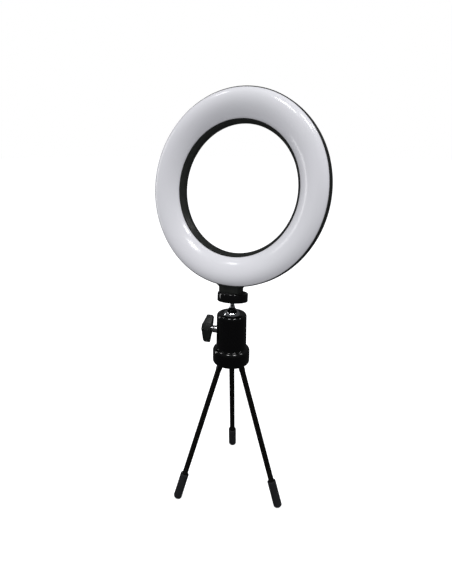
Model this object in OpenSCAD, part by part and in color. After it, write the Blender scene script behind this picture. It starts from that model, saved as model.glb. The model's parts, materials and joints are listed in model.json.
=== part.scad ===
// Desktop ring light on a mini ball head and a three-leg table stand.
// Units are millimetres. +Z is up, the light faces -Y, and the feet rest on Z = 0.

/* [Ring light] */
// outside diameter of the light
ring_d = 160; // [120:1:200]
// diameter of the open middle at its narrowest
hole_d = 105.4; // [70:0.2:140]
// depth of the rear housing behind the front rim
ring_depth = 17; // [16:0.5:26]
// wall thickness of the rear housing
shell_t = 1.8; // [1.2:0.1:3]
// straight part of the outer wall behind the rim
rim_straight = 3.5; // [2:0.5:6]
// how far the diffuser's inner edge sits behind its outer edge
inner_step = 4.1; // [2:0.1:6]
// height of the diffuser's dome
dome_h = 7; // [4:0.5:9]
// thickness of the diffuser
lens_t = 1.6; // [1.2:0.1:2.5]
// front rim ahead of the stud axis
rim_ahead = 9; // [7:0.5:12]

/* [LED board] */
// thickness of the board
board_t = 1.6; // [1:0.1:2]
// LEDs of each colour
led_count = 32; // [16:1:40]
// screws that hold the diffuser to the housing
screw_count = 6; // [4:1:8]

/* [Tilt head] */
// diameter of the chrome ball
ball_d = 17; // [15:0.5:18]
// diameter of the ball's neck
neck_d = 3.5; // [3:0.1:4]
// top plate diameter
plate_d = 25.7; // [22:0.1:30]
// top plate thickness
plate_t = 7.3; // [5:0.1:9]
// ball centre to the underside of the top plate
plate_gap = 14.8; // [14:0.1:18]
// ball centre to the middle of the ring
ring_rise = 108.2; // [105:0.1:120]
// ball housing diameter
housing_d = 25.6; // [24:0.1:30]
// ball housing height
housing_h = 31; // [29:0.1:40]
// camera thread outside diameter
thread_d = 6.3; // [6:0.05:6.4]
// wing knob length, tip to tip
knob_len = 23.2; // [18:0.1:30]

/* [Table stand] */
// hub diameter
hub_d = 31.7; // [28:0.1:36]
// hub height
hub_h = 13.4; // [11:0.1:15]
// height of the hub's underside above the table
hub_z = 125.5; // [100:0.5:180]
// leg tube diameter
leg_d = 4.8; // [4:0.1:6]
// leg angle from upright when open
leg_splay = 18.6; // [15:0.1:24]
// rubber foot cap diameter
cap_d = 7.4; // [6.5:0.1:9]
// rubber foot cap length
cap_len = 24; // [14:0.5:30]

/* [Pose] */
// lean of the head from upright
lean = 10; // [0:0.5:30]
// direction of the lean, turned from straight back
lean_dir = 20; // [-90:1:90]
// turn of the stand under the light
stand_turn = 26.3; // [0:0.1:120]
// direction the wing knob points
knob_dir = 197.6; // [180:0.1:270]
// turn of the wing knob about its screw
knob_turn = 37; // [0:1:180]

/* [Hidden] */
$fn = 96;
ring_fn = 200;
e = 0.05;
gap = 0.05;
stand_x = 6.46;
stand_y = -1.65;

// ring cross-section, as [radius, height in front of the rim]
ring_r = ring_d / 2;
hole_r = hole_d / 2;
lip_t = 0.7;
seat_r = ring_r - lip_t;
lens_r = seat_r - gap;
lens_in = hole_r + 3.3;
wall_in = lens_in - 1.1;
bulge_f = -9;
arc_n = 10;
dome_n = 22;
dome_power = 0.7;
board_f = -9;
board_in = 61;
board_out = 75.4;
post_r = 68;
led_out_r = 73;
led_in_r = 63;
pod_w = 32;
pod_depth = ring_depth + 0.6;
pod_r = ring_r + 0.3;
gland_y = -72.5;

// heights up the stand
hub_top = hub_z + hub_h;
housing_top = hub_top + housing_h;
ball_r = ball_d / 2;
ball_sink = 4.5;
ball_z = housing_top - ball_sink;
bore_r = ball_r + gap;
seat_top = ball_z - 4.7;
cone_top = ball_z - 9.7;
cone_low = ball_z - 15.6;
plug_top = ball_z - 15.8;
screw_z = ball_z - 11.9;
screw_r = 3.1;
knob_in = 17.5;
knob_out = 25.5;
knob_tip = knob_in + 5.5;

// plate, pad and boss, measured up from the ball centre
plate_low = plate_gap;
plate_high = plate_gap + plate_t;
pad_high = plate_high + 0.35;
boss_low = pad_high + gap;
insert_high = boss_low + 8;
thread_r = thread_d / 2;
boss_high = ring_rise - ring_r + 3.9;

// legs
pivot_r = 8.7;
pivot_z = hub_z + 3.1;
pin_r = 1;
tongue_t = 3;
tongue_r = 2.6;
cover_t = 2.1;
slot_end = pivot_r + tan(leg_splay) + (tongue_r - 0.2) / cos(leg_splay) + 0.08;
cap_end_r = 2.2;
foot_cut = 0.3;
cap_flat_r = cap_d / 2 - cap_end_r;
leg_drop = pivot_z + foot_cut - cap_end_r - cap_flat_r * sin(leg_splay);
leg_len = leg_drop / cos(leg_splay) + cap_end_r;
shoulder_a = 7;
shoulder_b = 12;
leg_turns = [90, 210, 330];

// ---------- frames ----------

// the stand's axis; the origin is under the middle of the whole light
module stand() {
  translate([stand_x, stand_y, 0])
    children();
}

// the leaning head, with its origin at the ball centre
module head() {
  stand()
    translate([0, 0, ball_z])
      rotate([0, 0, lean_dir])
        rotate([-lean, 0, 0])
          rotate([0, 0, -lean_dir])
            children();
}

// the ring's own axis: +Z is the way it shines, Z = 0 is the front rim
module ring_axis() {
  head()
    translate([0, -rim_ahead, ring_rise])
      rotate([90, 0, 0])
        children();
}

// the lock screw's axis: +Z points out of the housing
module lock_axis() {
  stand()
    translate([0, 0, screw_z])
      rotate([0, 0, knob_dir])
        rotate([0, 90, 0])
          children();
}

// one leg's axis: the origin is its pivot and +Z runs down the leg
module leg_axis(turn) {
  stand()
    rotate([0, 0, turn + stand_turn])
      translate([pivot_r, 0, pivot_z])
        rotate([0, 180 - leg_splay, 0])
          children();
}

// repeats its children round a ring
module around(count, start) {
  for (i = [0 : count - 1])
    rotate([0, 0, start + i * 360 / count])
      children();
}

// ---------- profiles ----------

// quarter arc of an ellipse from angle a to angle b
function arc(cx, cy, rx, ry, a, b, n) = [
  for (i = [0 : n])
    [cx + rx * cos(a + (b - a) * i / n), cy + ry * sin(a + (b - a) * i / n)]
];

// dome of the diffuser from its outer edge to its inner edge
function dome(r_out, r_in, f_out, f_in, h, n) = [
  for (i = [0 : n])
    let (t = i / n, bulge = h * pow(4 * t * (1 - t) + 0.0001, dome_power))
      [r_out + (r_in - r_out) * t + bulge * 0.17, f_out + (f_in - f_out) * t + bulge * 0.985]
];

// reverses a list of points
function flip(list) = [for (i = [len(list) - 1 : -1 : 0]) list[i]];

// solid of revolution with rounded top and bottom edges
module rounded_disc(r, z_low, z_high, round_low, round_high) {
  rotate_extrude($fn = ring_fn)
    polygon(concat(
      [[0, z_low]],
      arc(r - round_low, z_low + round_low, round_low, round_low, -90, 0, 5),
      arc(r - round_high, z_high - round_high, round_high, round_high, 0, 90, 5),
      [[0, z_high]]
    ));
}

// ---------- ring light ----------

module housing_shell() {
  back = -ring_depth;
  outer_c = ring_r - 12;
  inner_c = hole_r + 8;
  rotate_extrude($fn = ring_fn)
    polygon(concat(
      [[ring_r, 0]],
      arc(outer_c, -rim_straight, 12, ring_depth - rim_straight, 0, -90, arc_n),
      arc(inner_c, bulge_f, 8, ring_depth + bulge_f, -90, -180, arc_n),
      [[hole_r + 0.5, bulge_f + 1.8], [hole_r + 1.5, bulge_f + 3.4]],
      [[wall_in, -inner_step + 0.25], [lens_in - gap, -inner_step + 0.25]],
      [[lens_in - gap, -inner_step - 2], [lens_in + 0.5, -inner_step - 2]],
      [[hole_r + shell_t + 0.8, bulge_f + 1.6]],
      flip(arc(inner_c, bulge_f, 8 - shell_t, ring_depth + bulge_f - shell_t, -90, -180, arc_n)),
      flip(arc(outer_c, -rim_straight, 12 - shell_t, ring_depth - rim_straight - shell_t, 0, -90, arc_n)),
      [[ring_r - shell_t, -2], [seat_r, -2], [seat_r, 0]]
    ));
}

module boss() {
  half = 8.9;
  front = -rim_ahead + 0.3;
  rear = 5.4;
  crisp = 0.6;
  round = 5;
  translate([0, 0, boss_low])
    linear_extrude(height = boss_high - boss_low)
      polygon(concat(
        arc(half - round, rear - round, round, round, 0, 90, 8),
        arc(round - half, rear - round, round, round, 90, 180, 8),
        arc(crisp - half, front + crisp, crisp, crisp, 180, 270, 3),
        arc(half - crisp, front + crisp, crisp, crisp, 270, 360, 3)
      ));
}

module rear_housing() {
  color([0.05, 0.05, 0.055])
    difference() {
      union() {
        ring_axis()
          difference() {
            union() {
              housing_shell();
              intersection() {
                translate([-pod_w / 2, -pod_r, -pod_depth])
                  cube([pod_w, 15.4, 6.8]);
                translate([0, 0, -pod_depth])
                  cylinder(r = pod_r, h = 6.8, $fn = ring_fn);
              }
              around(screw_count, 0)
                translate([post_r, 0, -ring_depth + 0.5])
                  cylinder(r = 3.2, h = ring_depth - 0.5 + board_f - board_t);
            }
            translate([-pod_w / 2 + shell_t, 3 - ring_r, -pod_depth + shell_t])
              cube([pod_w - 2 * shell_t, 10.4, 5]);
            translate([0, gland_y, -pod_depth - e])
              cylinder(r = 3.3, h = shell_t + 2 * e);
            around(screw_count, 0)
              translate([post_r, 0, -ring_depth - e]) {
                cylinder(r = 2.3, h = 3.5 + e);
                cylinder(r = 1.2, h = ring_depth);
              }
          }
        head()
          boss();
      }
      ring_axis()
        translate([0, 0, -1.95])
          cylinder(r = seat_r - 0.01, h = 3, $fn = ring_fn);
      head()
        translate([0, 0, boss_low - e])
          cylinder(r = 4.2, h = insert_high - boss_low + e);
    }
}

module front_diffuser() {
  inner_f = -inner_step;
  color([0.93, 0.93, 0.95])
    ring_axis()
      difference() {
        union() {
          rotate_extrude($fn = ring_fn)
            polygon(concat(
              [[lens_r, -1.9]],
              dome(lens_r, lens_in, 0, inner_f, dome_h, dome_n),
              [[lens_in, inner_f - 1.8], [lens_in + 1.3, inner_f - 1.8]],
              flip(dome(lens_r - 1.3, lens_in + 1.3, -0.4, inner_f - 0.4, dome_h - lens_t, dome_n)),
              [[lens_r - 1.3, -1.9]]
            ));
          around(screw_count, 0)
            translate([post_r, 0, board_f])
              cylinder(r = 2.5, h = 4 - board_f);
        }
        around(screw_count, 0)
          translate([post_r, 0, board_f - e])
            cylinder(r = 1.12, h = 8);
      }
}

module led_board() {
  color([0.9, 0.9, 0.88])
    ring_axis()
      translate([0, 0, board_f - board_t])
        difference() {
          cylinder(r = board_out, h = board_t, $fn = ring_fn);
          translate([0, 0, -e])
            cylinder(r = board_in, h = board_t + 2 * e, $fn = ring_fn);
          around(screw_count, 0)
            translate([post_r, 0, -e])
              cylinder(r = 1.3, h = board_t + 2 * e);
        }
}

module led_row(radius, start) {
  ring_axis()
    around(led_count, start)
      translate([radius - 1.4, -1.75, board_f])
        cube([2.8, 3.5, 0.8]);
}

module leds_warm() {
  color([0.95, 0.8, 0.4])
    led_row(led_out_r, 0);
}

module leds_cool() {
  color([0.96, 0.94, 0.7])
    led_row(led_in_r, 180 / led_count);
}

module board_resistors() {
  color([0.12, 0.12, 0.12])
    ring_axis()
      around(12, 15)
        translate([post_r - 0.8, -1.6, board_f])
          cube([1.6, 3.2, 0.55]);
}

module board_connector() {
  color([0.92, 0.9, 0.82])
    ring_axis()
      translate([5.5, -72.5, board_f - board_t - 4])
        difference() {
          cube([8, 5, 4]);
          translate([0.8, 0.8, -e])
            cube([6.4, 3.4, 3]);
        }
}

module housing_screws() {
  head_f = -ring_depth + 3.5;
  color([0.2, 0.2, 0.21])
    ring_axis()
      around(screw_count, 0)
        translate([post_r, 0, head_f])
          difference() {
            union() {
              translate([0, 0, -1.6])
                cylinder(r = 2, h = 1.6, $fn = 32);
              cylinder(r = 1.1, h = 11.5, $fn = 32);
            }
            for (turn = [0, 90])
              rotate([0, 0, turn])
                translate([-1.2, -0.3, -1.6 - e])
                  cube([2.4, 0.6, 0.9]);
          }
}

module threaded_insert() {
  color([0.72, 0.56, 0.28])
    head()
      translate([0, 0, boss_low + 0.2])
        difference() {
          cylinder(r = 4.18, h = insert_high - boss_low - 0.2);
          translate([0, 0, -e])
            cylinder(r = thread_r + gap, h = 8);
          for (z = [2.4, 5])
            translate([0, 0, z])
              difference() {
                cylinder(r = 5, h = 0.6);
                translate([0, 0, -e])
                  cylinder(r = 3.8, h = 1);
              }
        }
}

module cable_gland() {
  color([0.07, 0.07, 0.07])
    ring_axis()
      translate([0, gland_y, -pod_depth])
        difference() {
          union() {
            translate([0, 0, -1.2])
              cylinder(r = 4.3, h = 1.2);
            cylinder(r = 3.28, h = shell_t);
            translate([0, 0, shell_t])
              cylinder(r = 4, h = 1);
          }
          translate([0, 0, -1.2 - e])
            cylinder(r = 2, h = 1.2 + shell_t + 1 + 2 * e);
        }
}

// ---------- tilt head ----------

module plate_stud() {
  color([0.62, 0.62, 0.63])
    head()
      translate([0, 0, plate_low + 4.2])
        union() {
          cylinder(r = thread_r, h = plate_t + 2.6);
          translate([0, 0, plate_t + 2.6])
            cylinder(r1 = thread_r, r2 = thread_r - 0.7, h = 0.7);
        }
}

module plate_pad() {
  color([0.09, 0.09, 0.09])
    head()
      translate([0, 0, plate_high - 0.55])
        difference() {
          cylinder(r = 10.5, h = pad_high - plate_high + 0.55);
          translate([0, 0, -e])
            cylinder(r = 3.6, h = 2);
        }
}

module top_plate() {
  color([0.05, 0.05, 0.055])
    head()
      difference() {
        rounded_disc(plate_d / 2, plate_low, plate_high, 0.6, 0.6);
        translate([0, 0, plate_high - 0.55])
          cylinder(r = 10.52, h = 1);
        translate([0, 0, plate_low + 4.2])
          cylinder(r = thread_r + 0.02, h = plate_t);
        translate([0, 0, plate_low - e])
          cylinder(r = 2.52, h = 4 + e);
      }
}

module ball_stem() {
  color([0.8, 0.81, 0.83])
    head()
      union() {
        sphere(r = ball_r);
        translate([0, 0, ball_r - 1.2])
          cylinder(r1 = 4, r2 = 2.6, h = 1.9);
        translate([0, 0, ball_r + 0.7])
          cylinder(r1 = 2.6, r2 = neck_d / 2, h = 2.6);
        cylinder(r = neck_d / 2, h = plate_low);
        translate([0, 0, plate_low])
          cylinder(r = 2.5, h = 3.9);
      }
}

module ball_housing() {
  top = housing_h;
  color([0.045, 0.045, 0.05])
    stand()
      difference() {
        translate([0, 0, hub_top])
          rotate_extrude($fn = ring_fn)
            polygon(concat(
              [[0, 0], [housing_d / 2 + 0.6, 0]],
              [[housing_d / 2 + 0.25, 0.2], [housing_d / 2 + 0.1, 0.6]],
              arc(housing_d / 2 - 3.4, top - 3.2, 3.2, 3.2, 0, 90, 6),
              [[0, top]]
            ));
        translate([0, 0, hub_top - e])
          cylinder(r = bore_r, h = ball_z - hub_top + e);
        translate([0, 0, ball_z])
          sphere(r = bore_r);
        translate([0, 0, housing_top - 0.5])
          cylinder(r1 = 7.5, r2 = 8, h = 0.5 + e);
        translate([0, 0, screw_z])
          rotate([0, 0, knob_dir])
            rotate([0, 90, 0])
              cylinder(r = screw_r + gap, h = housing_d);
      }
}

module seat_cone(extra) {
  span = cone_top - cone_low;
  translate([0, 0, cone_low])
    cylinder(r1 = bore_r - 0.08 - span + extra, r2 = bore_r - 0.08 + extra, h = span);
}

module ball_seat() {
  color([0.85, 0.84, 0.8])
    stand()
      difference() {
        union() {
          seat_cone(0);
          translate([0, 0, cone_top])
            cylinder(r = bore_r - 0.08, h = seat_top - cone_top);
        }
        translate([0, 0, ball_z])
          sphere(r = ball_r + gap);
      }
}

module base_plug() {
  color([0.6, 0.6, 0.61])
    stand()
      translate([0, 0, hub_top])
        difference() {
          cylinder(r = bore_r - 0.02, h = plug_top - hub_top);
          translate([0, 0, -e])
            cylinder(r = thread_r + gap, h = plug_top - hub_top + 2 * e);
        }
}

module lock_pad() {
  color([0.88, 0.87, 0.83])
    difference() {
      lock_axis()
        difference() {
          translate([0, 0, 2.9])
            cylinder(r = screw_r - 0.02, h = 7.3);
          translate([0, 0, 8.5])
            cylinder(r = 1.25, h = 2);
        }
      stand()
        union() {
          seat_cone(0.12);
          translate([0, 0, cone_low - 2])
            cylinder(r = bore_r - 0.08 - cone_top + cone_low + 0.12, h = 2 + e);
          translate([0, 0, cone_top - e])
            cylinder(r = bore_r + 0.04, h = 3);
        }
    }
}

module lock_screw() {
  color([0.8, 0.8, 0.82])
    lock_axis()
      union() {
        translate([0, 0, 8.6])
          cylinder(r = 1.2, h = 1.8);
        translate([0, 0, 10.3])
          cylinder(r = screw_r, h = 12);
      }
}

module wing_knob() {
  half = knob_len / 2;
  color([0.13, 0.13, 0.13])
    lock_axis()
      rotate([0, 0, knob_turn])
        difference() {
          intersection() {
            rotate([90, 0, 0])
              linear_extrude(height = 20, center = true)
                polygon([
                  [-half + 0.6, knob_in], [half - 0.6, knob_in], [half, knob_in + 0.6],
                  [half, knob_tip - 0.6], [half - 0.5, knob_tip], [2.4, knob_out],
                  [-2.4, knob_out], [-half + 0.5, knob_tip], [-half, knob_tip - 0.6],
                  [-half, knob_in + 0.6]
                ]);
            linear_extrude(height = 40)
              polygon([
                [-half, -2.4], [-3, -4], [-2.3, -5], [2.3, -5], [3, -4], [half, -2.4],
                [half, 2.4], [3, 4], [2.3, 5], [-2.3, 5], [-3, 4], [-half, 2.4]
              ]);
          }
          translate([0, 0, knob_in - 1])
            cylinder(r = screw_r + 0.02, h = 6.5);
        }
}

// ---------- table stand ----------

module leg_hub() {
  color([0.045, 0.045, 0.05])
    stand()
      difference() {
        rounded_disc(hub_d / 2, hub_z, hub_top, 1.4, 3.2);
        translate([0, 0, hub_z - e])
          cylinder(r = 12.7, h = cover_t + e);
        translate([0, 0, hub_z])
          cylinder(r = thread_r + gap, h = hub_h + e);
        for (turn = leg_turns)
          rotate([0, 0, turn + stand_turn])
            translate([0, 0, hub_z + cover_t - e]) {
              translate([5.6, -tongue_t / 2 - 0.2, 0])
                cube([slot_end - 5.6, tongue_t + 0.4, 4.6]);
              translate([pivot_r - pin_r - 0.02, -6.2, 0])
                cube([2 * pin_r + 0.04, 12.4, pivot_z - hub_z - cover_t + e]);
              translate([pivot_r, 6.2, pivot_z - hub_z - cover_t + e])
                rotate([90, 0, 0])
                  cylinder(r = pin_r + 0.02, h = 12.4);
            }
      }
}

module hub_cover() {
  color([0.06, 0.06, 0.065])
    stand()
      translate([0, 0, hub_z])
        difference() {
          cylinder(r = 12.65, h = cover_t - 0.02);
          translate([0, 0, -e])
            cylinder(r = thread_r + gap, h = cover_t + 2 * e);
          translate([0, 0, -e])
            cylinder(r = 5, h = 1.4 + e);
          for (turn = leg_turns)
            rotate([0, 0, turn + stand_turn])
              translate([5.7, -tongue_t / 2 - 0.2, -e])
                cube([10, tongue_t + 0.4, cover_t + 2 * e]);
        }
}

module hub_stud() {
  color([0.6, 0.6, 0.62])
    stand()
      translate([0, 0, hub_z + 0.1])
        difference() {
          union() {
            cylinder(r = 4.9, h = 1.28);
            cylinder(r = thread_r, h = hub_h + 7);
          }
          translate([0, 0, -e])
            cylinder(r = 2, h = 1 + e, $fn = 6);
        }
}

module leg_pins() {
  color([0.62, 0.62, 0.63])
    stand()
      for (turn = leg_turns)
        rotate([0, 0, turn + stand_turn])
          translate([pivot_r, 6, pivot_z])
            rotate([90, 0, 0])
              cylinder(r = pin_r, h = 12, $fn = 32);
}

module leg(turn) {
  color([0.1, 0.1, 0.095])
    leg_axis(turn)
      difference() {
        union() {
          translate([0, tongue_t / 2, 0])
            rotate([90, 0, 0])
              cylinder(r = tongue_r, h = tongue_t, $fn = 48);
          translate([-tongue_r + 0.2, -tongue_t / 2, 0])
            cube([2 * tongue_r - 0.4, tongue_t, shoulder_a + 2]);
          translate([0, 0, shoulder_a])
            cylinder(r1 = 1.7, r2 = leg_d / 2, h = shoulder_b - shoulder_a);
          translate([0, 0, shoulder_b])
            cylinder(r = leg_d / 2, h = leg_len - 4 - shoulder_b);
        }
        translate([0, 3, 0])
          rotate([90, 0, 0])
            cylinder(r = pin_r + gap, h = 6, $fn = 32);
        translate([0, 0, shoulder_b + 2])
          cylinder(r = leg_d / 2 - 0.6, h = leg_len);
      }
}

module rear_leg() {
  leg(leg_turns[0]);
}

module front_leg() {
  leg(leg_turns[1]);
}

module right_leg() {
  leg(leg_turns[2]);
}

module foot_cap(turn) {
  color([0.12, 0.12, 0.125])
    difference() {
      leg_axis(turn)
        difference() {
          rounded_disc(cap_d / 2, leg_len - cap_len, leg_len, 0.8, cap_end_r);
          translate([0, 0, leg_len - cap_len - e])
            cylinder(r = leg_d / 2 + 0.01, h = cap_len - 4 + e + 0.02);
        }
      translate([-200, -200, -20])
        cube([400, 400, 20]);
    }
}

module rear_foot_cap() {
  foot_cap(leg_turns[0]);
}

module front_foot_cap() {
  foot_cap(leg_turns[1]);
}

module right_foot_cap() {
  foot_cap(leg_turns[2]);
}

front_diffuser();
rear_housing();
led_board();
leds_warm();
leds_cool();
board_resistors();
board_connector();
housing_screws();
threaded_insert();
cable_gland();
plate_stud();
plate_pad();
top_plate();
ball_stem();
ball_housing();
ball_seat();
base_plug();
lock_pad();
lock_screw();
wing_knob();
leg_hub();
hub_cover();
hub_stud();
leg_pins();
rear_leg();
front_leg();
right_leg();
rear_foot_cap();
front_foot_cap();
right_foot_cap();
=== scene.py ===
"""Looks, stage, lights and camera of a desktop ring light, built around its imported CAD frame.

Lengths are in millimetres where a name or a profile says so, and MM turns them into metres.
"""
import json
import math

import bmesh
import bpy
from mathutils import Matrix, Vector

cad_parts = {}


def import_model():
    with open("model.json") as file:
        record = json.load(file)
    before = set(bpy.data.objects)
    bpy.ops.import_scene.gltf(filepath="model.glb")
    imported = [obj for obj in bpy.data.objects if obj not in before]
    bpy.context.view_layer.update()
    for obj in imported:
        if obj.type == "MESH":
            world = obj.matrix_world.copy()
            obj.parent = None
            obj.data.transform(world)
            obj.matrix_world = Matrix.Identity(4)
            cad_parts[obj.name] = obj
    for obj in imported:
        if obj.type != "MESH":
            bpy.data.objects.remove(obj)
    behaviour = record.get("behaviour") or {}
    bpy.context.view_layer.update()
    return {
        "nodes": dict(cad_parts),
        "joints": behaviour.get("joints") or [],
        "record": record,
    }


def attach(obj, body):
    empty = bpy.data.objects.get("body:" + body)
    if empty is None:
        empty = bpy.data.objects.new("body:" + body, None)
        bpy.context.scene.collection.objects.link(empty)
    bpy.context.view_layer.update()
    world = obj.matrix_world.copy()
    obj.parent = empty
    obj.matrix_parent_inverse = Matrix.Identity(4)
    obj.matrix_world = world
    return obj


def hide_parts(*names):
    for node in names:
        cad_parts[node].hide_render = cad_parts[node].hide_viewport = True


MM = 0.001
SEGMENTS = 256
SHARP = 25  # degrees between faces, from which an edge is bevelled

# ring light, the part's own driving sizes
RING_R, HOLE_R, RING_DEPTH = 80.0, 52.7, 17.0
RIM_AHEAD, RING_RISE = 9.0, 108.2
RIM_STRAIGHT, INNER_STEP, DOME_H, LENS_T = 3.5, 4.1, 7.0, 1.6
BULGE_F = -9.0
POST_R, SCREWS = 68.0, 6
POD_HALF, POD_DEPTH, GLAND_Y = 16.0, 17.6, -72.5
SEAT_R, LENS_IN = RING_R - 0.7, HOLE_R + 3.3

# tilt head, measured up from the ball centre
BALL_R, PLATE_LOW, PLATE_T, PLATE_R = 8.5, 14.8, 7.3, 12.85
BOSS_LOW, BOSS_HIGH = 22.5, 32.1

# heights up the stand
HUB_Z, HUB_TOP, HOUSING_TOP, BALL_Z, SCREW_Z = 125.5, 138.9, 169.9, 165.4, 153.5
HUB_R, HOUSING_R = 15.85, 12.8
KNOB_TURN = 37

# legs, along each leg from its pivot
LEG_R, LEG_LEN, CAP_R, CAP_LEN, CAP_END = 2.4, 135.31, 3.7, 24.0, 2.2
TONGUE_R, TONGUE_T, SHOULDER_A, SHOULDER_B = 2.6, 3.0, 7.0, 12.0
SPLAY = math.radians(18.6)

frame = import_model()
joints = {j["name"]: j for j in frame["joints"]}


# ---------- frames ----------

def turn(degrees, axis):
    return Matrix.Rotation(math.radians(degrees), 4, axis)


def shift(x, y, z):
    return Matrix.Translation(Vector((x, y, z)) * MM)


ball_centre = Vector(joints["head_tilt"]["pos_m"])
head_up = Vector(joints["ring_turn"]["axis"])
STAND = Matrix.Translation((ball_centre.x, ball_centre.y, 0))
LEAN = Vector((0, 0, 1)).rotation_difference(head_up).to_matrix().to_4x4()
HEAD = Matrix.Translation(ball_centre) @ LEAN
RING = HEAD @ shift(0, -RIM_AHEAD, RING_RISE) @ turn(90, "X")
lock_out = Vector(joints["knob_turn"]["axis"])
lock_turn = math.degrees(math.atan2(lock_out.y, lock_out.x))
LOCK = STAND @ shift(0, 0, SCREW_Z) @ turn(lock_turn, "Z") @ turn(90, "Y")


def leg_frame(name):
    pivot = Vector(joints[name + "_leg_fold"]["pos_m"])
    side = Vector(joints[name + "_leg_fold"]["axis"])
    out = math.degrees(math.atan2(-side.x, side.y))
    return Matrix.Translation(pivot) @ turn(out, "Z") @ turn(180 - math.degrees(SPLAY), "Y")


# ---------- outlines ----------

def rounded(corners, steps=6):
    """Outline through (x, y, fillet) corners, with an arc of that fillet radius at each."""
    points = []
    count = len(corners)
    for i, (x, y, fillet) in enumerate(corners):
        here = Vector((x, y))
        if fillet <= 0:
            points.append((x, y))
            continue
        before = Vector(corners[i - 1][:2]) - here
        after = Vector(corners[(i + 1) % count][:2]) - here
        half = before.angle(after) / 2
        reach = min(fillet / math.tan(half), before.length * 0.49, after.length * 0.49)
        start = here + before.normalized() * reach
        end = here + after.normalized() * reach
        middle = (before.normalized() + after.normalized()).normalized()
        centre = here + middle * (reach / math.cos(half))
        a, b = start - centre, end - centre
        sweep = a.angle(b)
        for k in range(steps + 1):
            t = k / steps
            mix = (a * math.sin((1 - t) * sweep) + b * math.sin(t * sweep)) / math.sin(sweep)
            points.append(tuple(centre + mix))
    return points


def arc(cx, cy, rx, ry, start, end, steps):
    return [(cx + rx * math.cos(math.radians(start + (end - start) * k / steps)),
             cy + ry * math.sin(math.radians(start + (end - start) * k / steps)))
            for k in range(steps + 1)]


# ---------- meshes ----------

def new_piece(name, bm, place):
    bmesh.ops.recalc_face_normals(bm, faces=bm.faces)
    mesh = bpy.data.meshes.new(name)
    bm.to_mesh(mesh)
    bm.free()
    mesh.transform(place @ Matrix.Scale(MM, 4))
    piece = bpy.data.objects.new(name, mesh)
    bpy.context.scene.collection.objects.link(piece)
    return piece


def lathe(name, outline, place, segments=SEGMENTS):
    """Turns an outline of (r, z) points about z; one that ends on the axis closes there."""
    bm = bmesh.new()
    rows = []
    for r, z in outline:
        if r < 1e-6:
            rows.append([bm.verts.new((0, 0, z))])
            continue
        rows.append([bm.verts.new((r * math.cos(2 * math.pi * k / segments),
                                   r * math.sin(2 * math.pi * k / segments), z))
                     for k in range(segments)])
    pairs = list(zip(rows, rows[1:]))
    if len(rows[0]) > 1:
        pairs.append((rows[-1], rows[0]))
    for low, high in pairs:
        for k in range(segments):
            n = (k + 1) % segments
            if len(low) == 1 and len(high) == 1:
                continue
            if len(low) == 1:
                bm.faces.new((low[0], high[n], high[k]))
            elif len(high) == 1:
                bm.faces.new((low[k], low[n], high[0]))
            else:
                bm.faces.new((low[k], low[n], high[n], high[k]))
    return new_piece(name, bm, place)


def stack(bm, rows):
    """Joins rows of points of the same count into a closed wall, with a cap at each end."""
    bm.faces.new(rows[0])
    bm.faces.new(rows[-1])
    for low, high in zip(rows, rows[1:]):
        for k in range(len(low)):
            n = (k + 1) % len(low)
            bm.faces.new((low[k], low[n], high[n], high[k]))


def prism(name, outline, low, high, place, bevel=0.0):
    """Extrudes an outline of (x, y) points from low to high along z, with its edges rounded."""
    bm = bmesh.new()
    stack(bm, [[bm.verts.new((x, y, z)) for x, y in outline] for z in (low, high)])
    bmesh.ops.recalc_face_normals(bm, faces=bm.faces)
    if bevel > 0:
        sharp = [e for e in bm.edges if e.calc_face_angle(0) > math.radians(SHARP)]
        bmesh.ops.bevel(bm, geom=sharp, offset=bevel, segments=4, profile=0.5,
                        affect="EDGES", clamp_overlap=True)
    return new_piece(name, bm, place)


def combine(base, tool, operation):
    """Applies a boolean of tool to base, and removes tool."""
    change = base.modifiers.new("change", "BOOLEAN")
    change.operation = operation
    change.solver = "EXACT"
    change.object = tool
    apply_modifiers(base)
    bpy.data.objects.remove(tool)


def apply_modifiers(piece):
    graph = bpy.context.evaluated_depsgraph_get()
    mesh = bpy.data.meshes.new_from_object(piece.evaluated_get(graph), depsgraph=graph)
    piece.modifiers.clear()
    piece.data = mesh


def soften(piece, width, angle, segments):
    """Rounds the edges sharper than angle that a boolean leaves."""
    bevel = piece.modifiers.new("soften", "BEVEL")
    bevel.width = width * MM
    bevel.segments = segments
    bevel.limit_method = "ANGLE"
    bevel.angle_limit = math.radians(angle)
    bevel.use_clamp_overlap = True
    bevel.miter_outer = "MITER_ARC"
    apply_modifiers(piece)


def shade(piece, angle=32):
    piece.data.shade_smooth()
    piece.data.set_sharp_from_angle(angle=math.radians(angle))


def settle(piece, body, slot, material, *nodes, angle=32):
    """Gives a finished piece its shading, material and body, and hides the CAD nodes it stands for;
    slot is not used.
    """
    shade(piece, angle)
    piece.data.materials.clear()
    piece.data.materials.append(material)
    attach(piece, body)
    if nodes:
        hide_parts(*nodes)
    return piece


# ---------- materials ----------

COAT_ROUGHNESS, PLASTIC_IOR = 0.08, 1.5
WEAR_PER_METRE = 900


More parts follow.
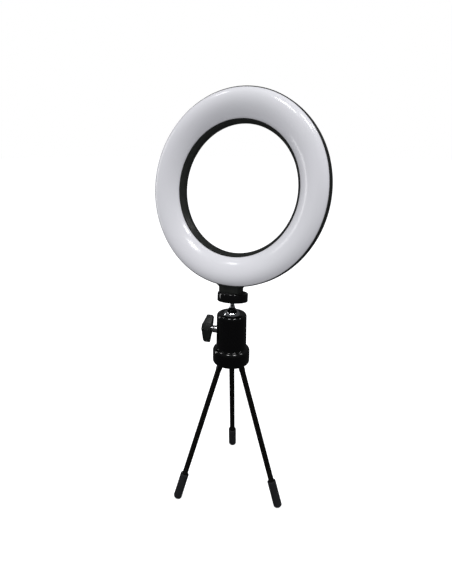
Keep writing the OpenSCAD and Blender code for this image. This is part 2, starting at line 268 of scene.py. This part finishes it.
class Finish:
    """A Principled material whose roughness, bump and colour vary over the surface."""

    def __init__(self, name, colour, roughness, metallic=0.0, coat=0.0, specular=0.5):
        self.material = bpy.data.materials.new(name)
        self.material.use_nodes = True
        self.tree = self.material.node_tree
        self.shader = self.tree.nodes["Principled BSDF"]
        self.shader.inputs["Base Color"].default_value = (*colour, 1)
        self.shader.inputs["Roughness"].default_value = roughness
        self.shader.inputs["Metallic"].default_value = metallic
        self.shader.inputs["Coat Weight"].default_value = coat
        self.shader.inputs["Coat Roughness"].default_value = COAT_ROUGHNESS
        self.shader.inputs["Specular IOR Level"].default_value = specular
        self.shader.inputs["IOR"].default_value = PLASTIC_IOR
        self.colour, self.roughness = colour, roughness
        self.where = self.tree.nodes.new("ShaderNodeTexCoord").outputs["Object"]
        self.height = None
        self.mix = None

    def link(self, a, b):
        self.tree.links.new(a, b)

    def noise(self, per_metre, detail=3.0):
        """Noise in the piece's own space, with per_metre as its scale."""
        node = self.tree.nodes.new("ShaderNodeTexNoise")
        node.inputs["Scale"].default_value = per_metre
        node.inputs["Detail"].default_value = detail
        self.link(self.where, node.inputs["Vector"])
        return node.outputs["Fac"]

    def spread(self, value, low, high, start=0.35, end=0.65):
        """Maps value from start..end onto low..high."""
        node = self.tree.nodes.new("ShaderNodeMapRange")
        node.inputs["From Min"].default_value = start
        node.inputs["From Max"].default_value = end
        node.inputs["To Min"].default_value = low
        node.inputs["To Max"].default_value = high
        self.link(value, node.inputs["Value"])
        return node.outputs["Result"]

    def mottle(self, per_metre, amount):
        """Varies roughness by amount either way."""
        value = self.spread(self.noise(per_metre),
                            self.roughness - amount, self.roughness + amount)
        self.link(value, self.shader.inputs["Roughness"])
        return self

    def grain(self, per_metre, depth_mm):
        """Adds a bump of that depth over the ones before it."""
        node = self.tree.nodes.new("ShaderNodeBump")
        node.inputs["Strength"].default_value = 1.0
        node.inputs["Distance"].default_value = depth_mm * MM
        self.link(self.noise(per_metre, detail=2.0), node.inputs["Height"])
        if self.height is not None:
            self.link(self.height, node.inputs["Normal"])
        self.height = node.outputs["Normal"]
        self.link(self.height, self.shader.inputs["Normal"])
        return self

    def tone(self, per_metre, other):
        """Drifts the colour towards another one in patches."""
        ramp = self.tree.nodes.new("ShaderNodeMix")
        ramp.data_type = "RGBA"
        ramp.inputs["A"].default_value = (*self.colour, 1)
        ramp.inputs["B"].default_value = (*other, 1)
        patches = self.spread(self.noise(per_metre, detail=4.0), 0, 1, start=0.4, end=0.7)
        self.link(patches, ramp.inputs["Factor"])
        self.mix = ramp.outputs["Result"]
        self.link(self.mix, self.shader.inputs["Base Color"])
        return self

    def worn_edges(self, other):
        """Shows another colour where the surface turns sharply outwards."""
        geometry = self.tree.nodes.new("ShaderNodeNewGeometry")
        wear = self.tree.nodes.new("ShaderNodeMath")
        wear.operation = "MULTIPLY"
        edges = self.spread(geometry.outputs["Pointiness"], 0, 1, start=0.53, end=0.6)
        patches = self.spread(self.noise(WEAR_PER_METRE), 0, 1, start=0.45, end=0.6)
        self.link(edges, wear.inputs[0])
        self.link(patches, wear.inputs[1])
        mix = self.tree.nodes.new("ShaderNodeMix")
        mix.data_type = "RGBA"
        self.link(wear.outputs["Value"], mix.inputs["Factor"])
        if self.mix is None:
            mix.inputs["A"].default_value = (*self.colour, 1)
        else:
            self.link(self.mix, mix.inputs["A"])
        mix.inputs["B"].default_value = (*other, 1)
        self.mix = mix.outputs["Result"]
        self.link(self.mix, self.shader.inputs["Base Color"])
        return self


def finishes():
    made = {}
    made["diffuser_plastic"] = (Finish("diffuser_plastic", (0.84, 0.835, 0.87), 0.2, coat=0.3)
                                .mottle(35, 0.03).tone(25, (0.82, 0.82, 0.85))
                                .grain(1200, 0.001).grain(45, 0.02))
    made["housing_black"] = (Finish("housing_black", (0.018, 0.020, 0.018), 0.34, specular=0.35)
                             .mottle(240, 0.05).tone(150, (0.023, 0.025, 0.022))
                             .grain(1800, 0.0015))
    made["head_black"] = (Finish("head_black", (0.003, 0.003, 0.0035), 0.12, specular=0.5, coat=0.6)
                          .mottle(180, 0.03).grain(500, 0.0005)
                          .worn_edges((0.02, 0.02, 0.02)))
    made["plate_black"] = (Finish("plate_black", (0.004, 0.004, 0.0045), 0.12, specular=0.5, coat=0.6)
                           .mottle(260, 0.03).grain(500, 0.0005)
                           .worn_edges((0.02, 0.02, 0.02)))
    made["hub_black"] = (Finish("hub_black", (0.003, 0.003, 0.0035), 0.12, specular=0.5, coat=0.6)
                         .mottle(200, 0.03).grain(500, 0.0005))
    made["ball_chrome"] = (Finish("ball_chrome", (0.78, 0.79, 0.81), 0.06, metallic=1.0)
                           .mottle(400, 0.02).grain(1800, 0.001))
    made["screw_chrome"] = (Finish("screw_chrome", (0.74, 0.74, 0.76), 0.12, metallic=1.0)
                            .mottle(600, 0.05).grain(2600, 0.003))
    made["knob_grey"] = (Finish("knob_grey", (0.006, 0.0075, 0.007), 0.3, specular=0.4)
                         .mottle(300, 0.06).tone(200, (0.010, 0.012, 0.011))
                         .grain(2400, 0.006).worn_edges((0.06, 0.06, 0.06)))
    made["leg_black"] = (Finish("leg_black", (0.006, 0.0055, 0.0045), 0.26, specular=0.25)
                         .mottle(320, 0.05).grain(900, 0.002).worn_edges((0.03, 0.03, 0.03)))
    made["foot_rubber"] = (Finish("foot_rubber", (0.016, 0.016, 0.018), 0.55, specular=0.35)
                           .mottle(260, 0.07).tone(140, (0.022, 0.022, 0.025)).grain(2400, 0.006))
    made["pad_rubber"] = (Finish("pad_rubber", (0.02, 0.02, 0.02), 0.7)
                          .mottle(300, 0.08).grain(2600, 0.02))
    made["gland_rubber"] = (Finish("gland_rubber", (0.018, 0.018, 0.018), 0.6)
                            .mottle(320, 0.08).grain(2600, 0.015))
    made["screw_black"] = (Finish("screw_black", (0.06, 0.06, 0.065), 0.35, metallic=0.8)
                           .mottle(700, 0.08).grain(3000, 0.004))
    made["insert_brass"] = (Finish("insert_brass", (0.62, 0.42, 0.16), 0.28, metallic=1.0)
                            .mottle(500, 0.06).grain(2500, 0.003))
    made["stud_steel"] = (Finish("stud_steel", (0.5, 0.5, 0.51), 0.3, metallic=1.0)
                          .mottle(500, 0.07).grain(2500, 0.003))
    made["plug_alloy"] = (Finish("plug_alloy", (0.6, 0.6, 0.61), 0.33, metallic=1.0)
                          .mottle(400, 0.06).grain(2300, 0.003))
    made["seat_nylon"] = (Finish("seat_nylon", (0.75, 0.73, 0.68), 0.48)
                          .mottle(300, 0.06).tone(120, (0.7, 0.68, 0.62)).grain(2600, 0.006))
    made["board_white"] = (Finish("board_white", (0.8, 0.81, 0.79), 0.3)
                           .mottle(200, 0.05).tone(90, (0.76, 0.78, 0.75)).grain(1500, 0.004))
    made["led_warm"] = (Finish("led_warm", (0.9, 0.62, 0.16), 0.32)
                        .mottle(600, 0.05).grain(2500, 0.004))
    made["led_cool"] = (Finish("led_cool", (0.9, 0.84, 0.38), 0.32)
                        .mottle(600, 0.05).grain(2500, 0.004))
    made["resistor_black"] = (Finish("resistor_black", (0.03, 0.03, 0.03), 0.4)
                              .mottle(800, 0.06).grain(2800, 0.004))
    made["connector_nylon"] = (Finish("connector_nylon", (0.74, 0.7, 0.6), 0.45)
                               .mottle(400, 0.06).grain(2600, 0.006))
    return {name: made[name].material for name in made}


# ---------- ring light ----------

def bulge_line(r_out, r_in, f_out, f_in, height, steps):
    """Dome of the diffuser from its outer edge to its inner edge."""
    fullness, at_edge = 0.7, 0.0001
    outward, forward = 0.17, 0.985
    points = []
    for k in range(steps + 1):
        t = 0.5 - 0.5 * math.cos(math.pi * k / steps)
        rise = height * (4 * t * (1 - t) + at_edge) ** fullness
        points.append((r_out + (r_in - r_out) * t + rise * outward,
                       f_out + (f_in - f_out) * t + rise * forward))
    return points


def diffuser():
    lens_r = SEAT_R - 0.05
    side_t, sunk = 1.3, 0.4
    foot_out, foot_in = -1.9, -INNER_STEP - 1.8
    outer = bulge_line(lens_r, LENS_IN, 0, -INNER_STEP, DOME_H, 48)
    inner = bulge_line(lens_r - side_t, LENS_IN + side_t, -sunk, -INNER_STEP - sunk,
                       DOME_H - LENS_T, 32)
    outline = ([(lens_r, foot_out)] + outer
               + [(LENS_IN, foot_in), (LENS_IN + side_t, foot_in)]
               + inner[::-1] + [(lens_r - side_t, foot_out)])
    piece = lathe("diffuser", outline, RING, 320)
    return settle(piece, "ring", "diffuser_plastic", MATERIALS["diffuser_plastic"],
                  "front_diffuser", angle=40)


def ring_outline():
    """Section of the rear housing; its back is rounded more at the outside than at the hole."""
    outer_edge, inner_edge, wall = 12, 8, 1.8
    outer_c, inner_c = RING_R - outer_edge, HOLE_R + inner_edge
    wall_in = LENS_IN - 1.1
    lip = rounded([(SEAT_R, -2.0, 0), (SEAT_R, 0, 0.25), (RING_R, 0, 0.3),
                   (RING_R, -RIM_STRAIGHT, 0)], 4)[1:-1]
    lip_in = rounded([(HOLE_R + 0.5, BULGE_F + 1.8, 0), (HOLE_R + 1.5, BULGE_F + 3.4, 0.6),
                      (wall_in, -INNER_STEP + 0.25, 0.3), (LENS_IN - 0.05, -INNER_STEP + 0.25, 0.2),
                      (LENS_IN - 0.05, -INNER_STEP - 2, 0)], 4)
    return (lip
            + arc(outer_c, -RIM_STRAIGHT, outer_edge, RING_DEPTH - RIM_STRAIGHT, 0, -90, 20)
            + arc(inner_c, BULGE_F, inner_edge, RING_DEPTH + BULGE_F, -90, -180, 16)
            + lip_in
            + [(LENS_IN + 0.5, -INNER_STEP - 2), (HOLE_R + wall + 0.8, BULGE_F + 1.6)]
            + arc(inner_c, BULGE_F, inner_edge - wall,
                  RING_DEPTH + BULGE_F - wall, -90, -180, 10)[::-1]
            + arc(outer_c, -RIM_STRAIGHT, outer_edge - wall,
                  RING_DEPTH - RIM_STRAIGHT - wall, 0, -90, 12)[::-1]
            + [(RING_R - wall, -2.0), (SEAT_R, -2.0)])


def boss(place):
    """Block under the ring that carries the camera thread; it flares into the ring's wall."""
    half, front, rear, crisp, corner = 8.9, -8.7, 5.4, 0.6, 5.0
    flare_z, flare_r = 25.9, 2.6
    outline = rounded([(-half, front, crisp), (half, front, crisp),
                       (half, rear, corner), (-half, rear, corner)], 8)
    levels = [(BOSS_LOW, -0.35), (BOSS_LOW + 0.35, 0.0), (flare_z, 0.0)]
    for k in range(1, 9):
        rise = flare_r * math.sin(math.radians(k * 10))
        levels.append((flare_z + rise, flare_r - math.sqrt(flare_r ** 2 - rise ** 2)))
    levels.append((BOSS_HIGH, levels[-1][1]))
    bm = bmesh.new()
    rows = []
    for z, grow in levels:
        row = []
        for x, y in outline:
            inset = min(grow, 0.0)
            spread = max(grow, 0.0)
            out_x = x + math.copysign(inset + spread, x)
            out_y = y + (inset * math.copysign(1, y)) + (spread if y > 0 else 0)
            row.append(bm.verts.new((out_x, out_y, z)))
        rows.append(row)
    stack(bm, rows)
    return new_piece("boss", bm, place)


def housing():
    shell = lathe("ring_housing", ring_outline(), RING, 288)
    pod_top, edge, pod_deep = 64.9, RING_R + 0.3, RING_DEPTH - 6
    side = math.degrees(math.acos(POD_HALF / edge))
    pod_line = ([(POD_HALF, -pod_top), (-POD_HALF, -pod_top)]
                + arc(0, 0, edge, edge, 180 + side, 360 - side, 24))
    pod = prism("pod", pod_line, -POD_DEPTH, -pod_deep, RING, bevel=0.5)
    combine(shell, pod, "UNION")
    combine(shell, boss(HEAD), "UNION")
    seat = lathe("cut", [(0, -1.95), (SEAT_R - 0.01, -1.95), (SEAT_R - 0.01, 1), (0, 1)], RING, 288)
    combine(shell, seat, "DIFFERENCE")
    head_r, mouth_r, head_floor = 2.3, 2.75, -RING_DEPTH + 3.5
    for k in range(SCREWS):
        at = RING @ turn(k * 360 / SCREWS, "Z") @ shift(POST_R, 0, 0)
        cut = lathe("cut", [(0, -RING_DEPTH - 1), (mouth_r, -RING_DEPTH - 1),
                            (mouth_r, -RING_DEPTH), (head_r, -RING_DEPTH + mouth_r - head_r),
                            (head_r, head_floor), (0, head_floor)], at, 40)
        combine(shell, cut, "DIFFERENCE")
    gland_r, flange_r, pod_wall, gland_floor = 3.32, 4.4, -POD_DEPTH + 1.8, -POD_DEPTH + 4
    gland = lathe("cut", [(0, -POD_DEPTH - 1), (gland_r, -POD_DEPTH - 1), (gland_r, pod_wall),
                          (flange_r, pod_wall), (flange_r, gland_floor), (0, gland_floor)],
                  RING @ shift(0, GLAND_Y, 0), 56)
    combine(shell, gland, "DIFFERENCE")
    insert_r, insert_top = 4.22, BOSS_LOW + 8
    insert = lathe("cut", [(0, BOSS_LOW - 1), (insert_r + 0.48, BOSS_LOW - 1),
                           (insert_r, BOSS_LOW + 0.3), (insert_r, insert_top),
                           (0, insert_top)], HEAD, 56)
    combine(shell, insert, "DIFFERENCE")
    return settle(shell, "ring", "housing_black", MATERIALS["housing_black"], "rear_housing")


# ---------- tilt head ----------

def top_plate():
    plate_top, pad_r, pad_floor = PLATE_LOW + PLATE_T, 10.55, PLATE_LOW + PLATE_T - 0.6
    stem_r, stud_r, stud_floor = 2.55, 3.2, PLATE_LOW + 4.2
    outline = rounded([(stem_r, PLATE_LOW, 0.2), (PLATE_R, PLATE_LOW, 0.6),
                       (PLATE_R, plate_top, 0.9), (pad_r, plate_top, 0.25),
                       (pad_r, pad_floor, 0), (stud_r, pad_floor, 0),
                       (stud_r, stud_floor, 0), (stem_r, stud_floor, 0)], 7)
    return settle(lathe("mount_plate", outline, HEAD), "ball", "plate_black",
                  MATERIALS["plate_black"], "top_plate")


def ball():
    """Chrome ball whose neck flares out where it meets the ball, foot degrees above its middle."""
    neck, spigot, spigot_top, foot = 1.75, 2.5, PLATE_LOW + 3.9, 63.7
    top = [(BALL_R * math.cos(math.radians(foot)), BALL_R * math.sin(math.radians(foot)), 0),
           (2.6, 9.2, 2.5), (neck, 11.8, 1.5), (neck, PLATE_LOW - 0.9, 0.5),
           (spigot, PLATE_LOW - 0.15, 0.3), (spigot, spigot_top, 0.3), (0, spigot_top, 0)]
    outline = arc(0, 0, BALL_R, BALL_R, -90, foot - 3, 60) + rounded(top, 8)
    outline[0] = (0, -BALL_R)
    return settle(lathe("ball_and_neck", outline, HEAD, 192), "ball", "ball_chrome",
                  MATERIALS["ball_chrome"], "ball_stem")


def ball_housing():
    bore, top = BALL_R + 0.05, HOUSING_TOP
    rim_low, rim_in, rim_out = top - 0.5, 7.55, 8.0
    socket = math.degrees(math.asin((rim_low - BALL_Z) / bore))
    cove, base_r = 0.5, HOUSING_R + 0.1
    outer = ([(bore, HUB_TOP), (base_r + cove, HUB_TOP)]
             + arc(base_r + cove, HUB_TOP + 0.1 + cove, cove, cove, -90, -180, 8)
             + rounded([(base_r, HUB_TOP + 2, 0), (HOUSING_R - 0.2, top, 3.2),
                        (rim_out, top, 0.25), (rim_in, rim_low, 0)], 10)[1:]
             + arc(0, BALL_Z, bore, bore, socket, 0, 8))
    piece = lathe("tilt_housing", outer, STAND)
    screw_r, mouth_r, outside = 3.15, 3.75, HOUSING_R + 3
    hole = lathe("cut", [(0, 6), (screw_r, 6), (screw_r, HOUSING_R - 0.35),
                         (mouth_r, HOUSING_R + 0.6), (mouth_r, outside), (0, outside)], LOCK, 64)
    combine(piece, hole, "DIFFERENCE")
    return settle(piece, "base", "head_black", MATERIALS["head_black"], "ball_housing")


def lock_screw():
    """Screw with a nose that the lock pad sits on, and a groove in front of the knob."""
    nose, shank, groove = 1.2, 3.1, 2.75
    near, far = 8.6, 22.3
    outline = rounded([(0, near, 0), (nose, near, 0.15), (nose, 10.3, 0), (shank, 10.3, 0.5),
                       (shank, 16.0, 0.1), (groove, 16.3, 0.1), (groove, 16.9, 0.1),
                       (shank, 17.2, 0.1), (shank, far, 0.3), (0, far, 0)], 4)
    return settle(lathe("lock_screw_shank", outline, LOCK, 96), "knob", "screw_chrome",
                  MATERIALS["screw_chrome"], "lock_screw")


def wing_knob():
    """Wing cut from its side view, which is tapered, and its end view, which swells at the middle."""
    near, tip, far, half, rim = 17.5, 23.0, 25.5, 11.6, 2.4
    chamfer, tip_t, root_t, hub_t, root, hub = 0.6, 2.4, 4, 5, 3, 2.3
    knob = LOCK @ turn(KNOB_TURN, "Z")
    side = [(-half + chamfer, near), (half - chamfer, near), (half, near + chamfer),
            (half, tip - chamfer), (half - 0.5, tip), (rim, far), (-rim, far),
            (-half + 0.5, tip), (-half, tip - chamfer), (-half, near + chamfer)]
    lower = [(-half, -tip_t), (-root, -root_t), (-hub, -hub_t),
             (hub, -hub_t), (root, -root_t), (half, -tip_t)]
    edge_on = lower + [(x, -y) for x, y in lower[::-1]]
    body = prism("wing", side, -10, 10, knob @ turn(90, "X"))
    across = prism("cut", edge_on, 5, 40, knob)
    combine(body, across, "INTERSECT")
    soften(body, 0.4, 12, 4)
    socket_r, socket_end = 3.12, near + 5.5
    hole = lathe("cut", [(0, near - 1), (socket_r, near - 1), (socket_r, socket_end),
                         (0, socket_end)], LOCK, 64)
    combine(body, hole, "DIFFERENCE")
    return settle(body, "knob", "knob_grey", MATERIALS["knob_grey"], "wing_knob", angle=30)


# ---------- table stand ----------

def leg_hub():
    cover_r, cover_top, stud_r = 12.7, HUB_Z + 2.1, 3.2
    slot_start, slot_end, slot_low, slot_top = 5.6, 12.35, HUB_Z + 1.5, HUB_Z + 6.7
    across = TONGUE_T / 2 + 0.2
    outline = rounded([(cover_r, HUB_Z, 0.25), (HUB_R, HUB_Z, 1.4), (HUB_R, HUB_TOP, 3.2),
                       (stud_r, HUB_TOP, 0), (stud_r, cover_top, 0), (cover_r, cover_top, 0)], 9)
    piece = lathe("stand_hub", outline, STAND)
    for name in LEGS:
        room = prism("cut", [(slot_start, -across), (slot_end, -across),
                             (slot_end, across), (slot_start, across)],
                     slot_low, slot_top, leg_turn(name))
        combine(piece, room, "DIFFERENCE")
    return settle(piece, "base", "hub_black", MATERIALS["hub_black"], "leg_hub")


def leg_turn(name):
    side = Vector(joints[name + "_leg_fold"]["axis"])
    return STAND @ Matrix.Rotation(math.atan2(-side.x, side.y), 4, "Z")


def leg(name):
    """Tube whose top end is pressed flat into the tongue that the hub's pin passes through."""
    around, blocky, round_power = 48, 8, 2
    half_t, flat_end = TONGUE_T / 2, SHOULDER_A - 1.2
    place = leg_frame(name)
    # each level is its height, its two half widths, and how square its section is
    levels = [(z, TONGUE_R * math.sqrt(max(0, 1 - (z / TONGUE_R) ** 2)), half_t, blocky)
              for z in (-2.55, -2.3, -1.9, -1.3, -0.6, 0.0)]
    levels += [(2.0, 2.5, half_t, blocky), (flat_end, LEG_R, half_t, blocky)]
    for k in range(1, 9):
        t = k / 8
        ease = t * t * (3 - 2 * t)
        levels.append((flat_end + (SHOULDER_B - SHOULDER_A) * t, LEG_R,
                       half_t + (LEG_R - half_t) * ease,
                       blocky + (round_power - blocky) * ease))
    levels += [(z, LEG_R, LEG_R, round_power) for z in (30, 60, 90, LEG_LEN - 4.05)]
    bm = bmesh.new()
    rows = []
    for z, a, b, power in levels:
        row = []
        for k in range(around):
            c, s = math.cos(2 * math.pi * k / around), math.sin(2 * math.pi * k / around)
            row.append(bm.verts.new((math.copysign(a * abs(c) ** (2 / power), c),
                                     math.copysign(b * abs(s) ** (2 / power), s), z)))
        rows.append(row)
    stack(bm, rows)
    piece = new_piece(name + "_leg_tube", bm, place)
    pin_r, past = 1.05, 4
    hole = lathe("cut", [(0, -past), (pin_r, -past), (pin_r, past), (0, past)],
                 place @ turn(90, "X"), 32)
    combine(piece, hole, "DIFFERENCE")
    return settle(piece, name + "_leg", "leg_black", MATERIALS["leg_black"], name + "_leg")


def foot_cap(name):
    """Rubber cap over the leg's end, worn flat where it stands."""
    start, socket_r, socket_end = LEG_LEN - CAP_LEN, LEG_R + 0.01, LEG_LEN - 4
    outline = rounded([(socket_r, start + 0.25, 0.1), (LEG_R + 0.3, start, 0.15),
                       (CAP_R, start, 0.8), (CAP_R, LEG_LEN, CAP_END), (0, LEG_LEN, 0)], 8)
    outline += [(0, socket_end), (socket_r, socket_end)]
    piece = lathe(name + "_rubber_cap", outline, leg_frame(name), 96)
    bm = bmesh.new()
    bm.from_mesh(piece.data)
    everything = list(bm.verts) + list(bm.edges) + list(bm.faces)
    cut = bmesh.ops.bisect_plane(bm, geom=everything, plane_co=(0, 0, 0), plane_no=(0, 0, 1),
                                 clear_inner=True)
    rim = [g for g in cut["geom_cut"] if isinstance(g, bmesh.types.BMEdge)]
    bmesh.ops.contextual_create(bm, geom=rim)
    bm.to_mesh(piece.data)
    bm.free()
    return settle(piece, name + "_leg", "foot_rubber", MATERIALS["foot_rubber"],
                  name + "_foot_cap")


# ---------- stage ----------

def floor():
    """Pale round floor with a glow of its own, left out of soft light and reflections."""
    around = 64
    bm = bmesh.new()
    rows = [[bm.verts.new((0, 0, 0))]]
    for r in (200, 400, 800, 1600, 3200, 6400):
        rows.append([bm.verts.new((r * math.cos(2 * math.pi * k / around),
                                   r * math.sin(2 * math.pi * k / around), 0))
                     for k in range(around)])
    for low, high in zip(rows, rows[1:]):
        for k in range(around):
            n = (k + 1) % around
            if len(low) == 1:
                bm.faces.new((low[0], high[k], high[n]))
            else:
                bm.faces.new((low[k], high[k], high[n], low[n]))
    piece = new_piece("stage_floor", bm, Matrix.Identity(4))
    surface = Finish("stage_floor", (0.9, 0.9, 0.9), 0.8, specular=0.1)
    surface.mottle(6, 0.05)
    surface.shader.inputs["Emission Color"].default_value = (1, 1, 1, 1)
    surface.shader.inputs["Emission Strength"].default_value = FLOOR_GLOW
    piece.data.materials.append(surface.material)
    piece.visible_diffuse = False
    piece.visible_glossy = False


def world():
    """White backdrop to the camera, soft light on surfaces, and a dark room in reflections."""
    item = bpy.data.worlds.new("studio")
    bpy.context.scene.world = item
    item.use_nodes = True
    tree = item.node_tree
    tree.nodes.clear()
    where = tree.nodes.new("ShaderNodeTexCoord").outputs["Generated"]
    split = tree.nodes.new("ShaderNodeSeparateXYZ")
    tree.links.new(where, split.inputs["Vector"])
    path = tree.nodes.new("ShaderNodeLightPath")

    def background(low, high):
        ramp = tree.nodes.new("ShaderNodeMapRange")
        ramp.interpolation_type = "SMOOTHSTEP"
        ramp.inputs["From Min"].default_value = -0.5
        ramp.inputs["From Max"].default_value = 0.9
        ramp.inputs["To Min"].default_value = low
        ramp.inputs["To Max"].default_value = high
        tree.links.new(split.outputs["Z"], ramp.inputs["Value"])
        node = tree.nodes.new("ShaderNodeBackground")
        node.inputs["Color"].default_value = (0.96, 0.97, 1.0, 1)
        tree.links.new(ramp.outputs["Result"], node.inputs["Strength"])
        return node.outputs["Background"]

    def choose(when, otherwise, chosen):
        mix = tree.nodes.new("ShaderNodeMixShader")
        tree.links.new(path.outputs[when], mix.inputs["Fac"])
        tree.links.new(otherwise, mix.inputs[1])
        tree.links.new(chosen, mix.inputs[2])
        return mix.outputs["Shader"]

    white = tree.nodes.new("ShaderNodeBackground")
    white.inputs["Strength"].default_value = 1.0
    white.inputs["Color"].default_value = (1, 1, 1, 1)
    room = choose("Is Diffuse Ray", background(*REFLECTED), background(*AMBIENT))
    out = tree.nodes.new("ShaderNodeOutputWorld")
    tree.links.new(choose("Is Camera Ray", room, white.outputs["Background"]),
                   out.inputs["Surface"])


def softbox(name, azimuth, elevation, distance, width, height, power):
    """Area light aimed at the ring; azimuth is counted from the camera's side, left negative."""
    data = bpy.data.lights.new(name, "AREA")
    data.shape = "RECTANGLE"
    data.size, data.size_y = width, height
    data.energy = power
    item = bpy.data.objects.new(name, data)
    bpy.context.scene.collection.objects.link(item)
    a = math.radians(CAMERA_TURN + azimuth)
    e = math.radians(elevation)
    target = STAND @ Vector((0, 0, 0.2))
    away = Vector((math.sin(a) * math.cos(e), -math.cos(a) * math.cos(e), math.sin(e)))
    item.location = target + away * distance
    item.rotation_euler = away.to_track_quat("Z", "Y").to_euler()


def camera():
    """Camera at the viewing height and distance that show the light as it stands on a table."""
    data = bpy.data.cameras.new("camera")
    data.sensor_fit = "HORIZONTAL"
    data.sensor_width = 36
    data.lens = CAMERA_LENS
    data.shift_x, data.shift_y = 0.0339, -0.0806
    item = bpy.data.objects.new("camera", data)
    bpy.context.scene.collection.objects.link(item)
    distance, height = 344.66, 314.39
    pan, tilt, roll = -0.0521, -0.2672, 0.0026
    item.matrix_world = (STAND @ turn(CAMERA_TURN, "Z") @ shift(0, -distance, height)
                         @ Matrix.Rotation(-pan, 4, "Z")
                         @ Matrix.Rotation(math.pi / 2 + tilt, 4, "X")
                         @ Matrix.Rotation(roll, 4, "Z"))
    bpy.context.scene.camera = item


CAMERA_TURN, CAMERA_LENS = 29.57, 34.89
FLOOR_GLOW = 0.6
AMBIENT = (0.45, 0.74)
REFLECTED = (0.03, 0.08)
LEGS = ("rear", "front", "right")
MATERIALS = finishes()
CAD_FINISH = {s["node"]: s["material_slot"] for s in frame["record"]["subparts"]}

diffuser()
housing()
top_plate()
ball()
ball_housing()
lock_screw()
wing_knob()
leg_hub()
for leg_name in LEGS:
    leg(leg_name)
    foot_cap(leg_name)
for node_name, node_object in frame["nodes"].items():
    node_object.data.materials.clear()
    node_object.data.materials.append(MATERIALS[CAD_FINISH[node_name]])

floor()
world()
softbox("key_left", -30, 64, 1.2, 0.24, 0.24, 2.4)
softbox("key_right", 36, 64, 1.2, 0.24, 0.24, 2.4)
softbox("side_left", -100, 52, 1.2, 0.14, 0.14, 0.5)
softbox("side_right", 95, 52, 1.2, 0.14, 0.14, 0.8)
softbox("strip_left", -108, 8, 1.2, 0.2, 0.9, 1.6)
camera()
bpy.context.scene.view_settings.view_transform = "Standard"
bpy.context.scene.view_settings.look = "None"
